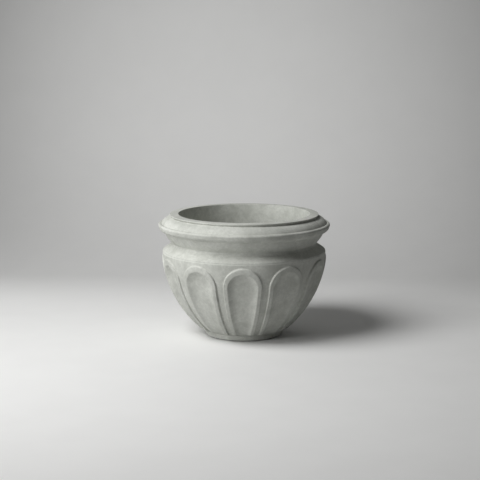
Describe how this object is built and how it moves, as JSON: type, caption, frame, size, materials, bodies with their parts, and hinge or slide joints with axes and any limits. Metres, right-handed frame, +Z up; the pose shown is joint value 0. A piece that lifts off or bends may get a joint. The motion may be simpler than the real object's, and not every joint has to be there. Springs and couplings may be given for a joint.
{
  "type": "urn planter",
  "caption": "Round cast-stone urn planter: a lobed bowl on a low foot, a moulded rim with a plain lip, a deep plant hollow and a plugged drain.",
  "frame": {"origin": "on the ground, on the axis of revolution", "axes": "+Z up along the axis of revolution, -Y towards the lobe that faces the front"},
  "size_m": [0.4585, 0.4586, 0.3268],
  "materials": {
    "cast_stone": "matt, fine grained, lightly mottled pale grey",
    "mortar": "matt, pointed nearly flush, close to the castings in colour",
    "stainless_steel": "plain drawn bar",
    "galvanised_rod": "dull zinc",
    "drain_plastic": "matt black",
    "plug_rubber": "matt black",
    "pad_rubber": "matt dark grey"
  },
  "bodies": {
    "planter": {"bowl": "cast_stone", "collar": "cast_stone", "bed_joint": "mortar", "dowel_pins": "stainless_steel", "rim_hoop": "galvanised_rod", "bowl_hoop": "galvanised_rod", "drain_sleeve": "drain_plastic", "foot_pads": "pad_rubber"},
    "plug": {"drain_plug": "plug_rubber"}
  },
  "joints": [
    {"name": "plug_lift", "type": "slide", "parent": "planter", "child": "plug", "axis": [0, 0, 1], "range_m": [0, 0.06]}
  ]
}
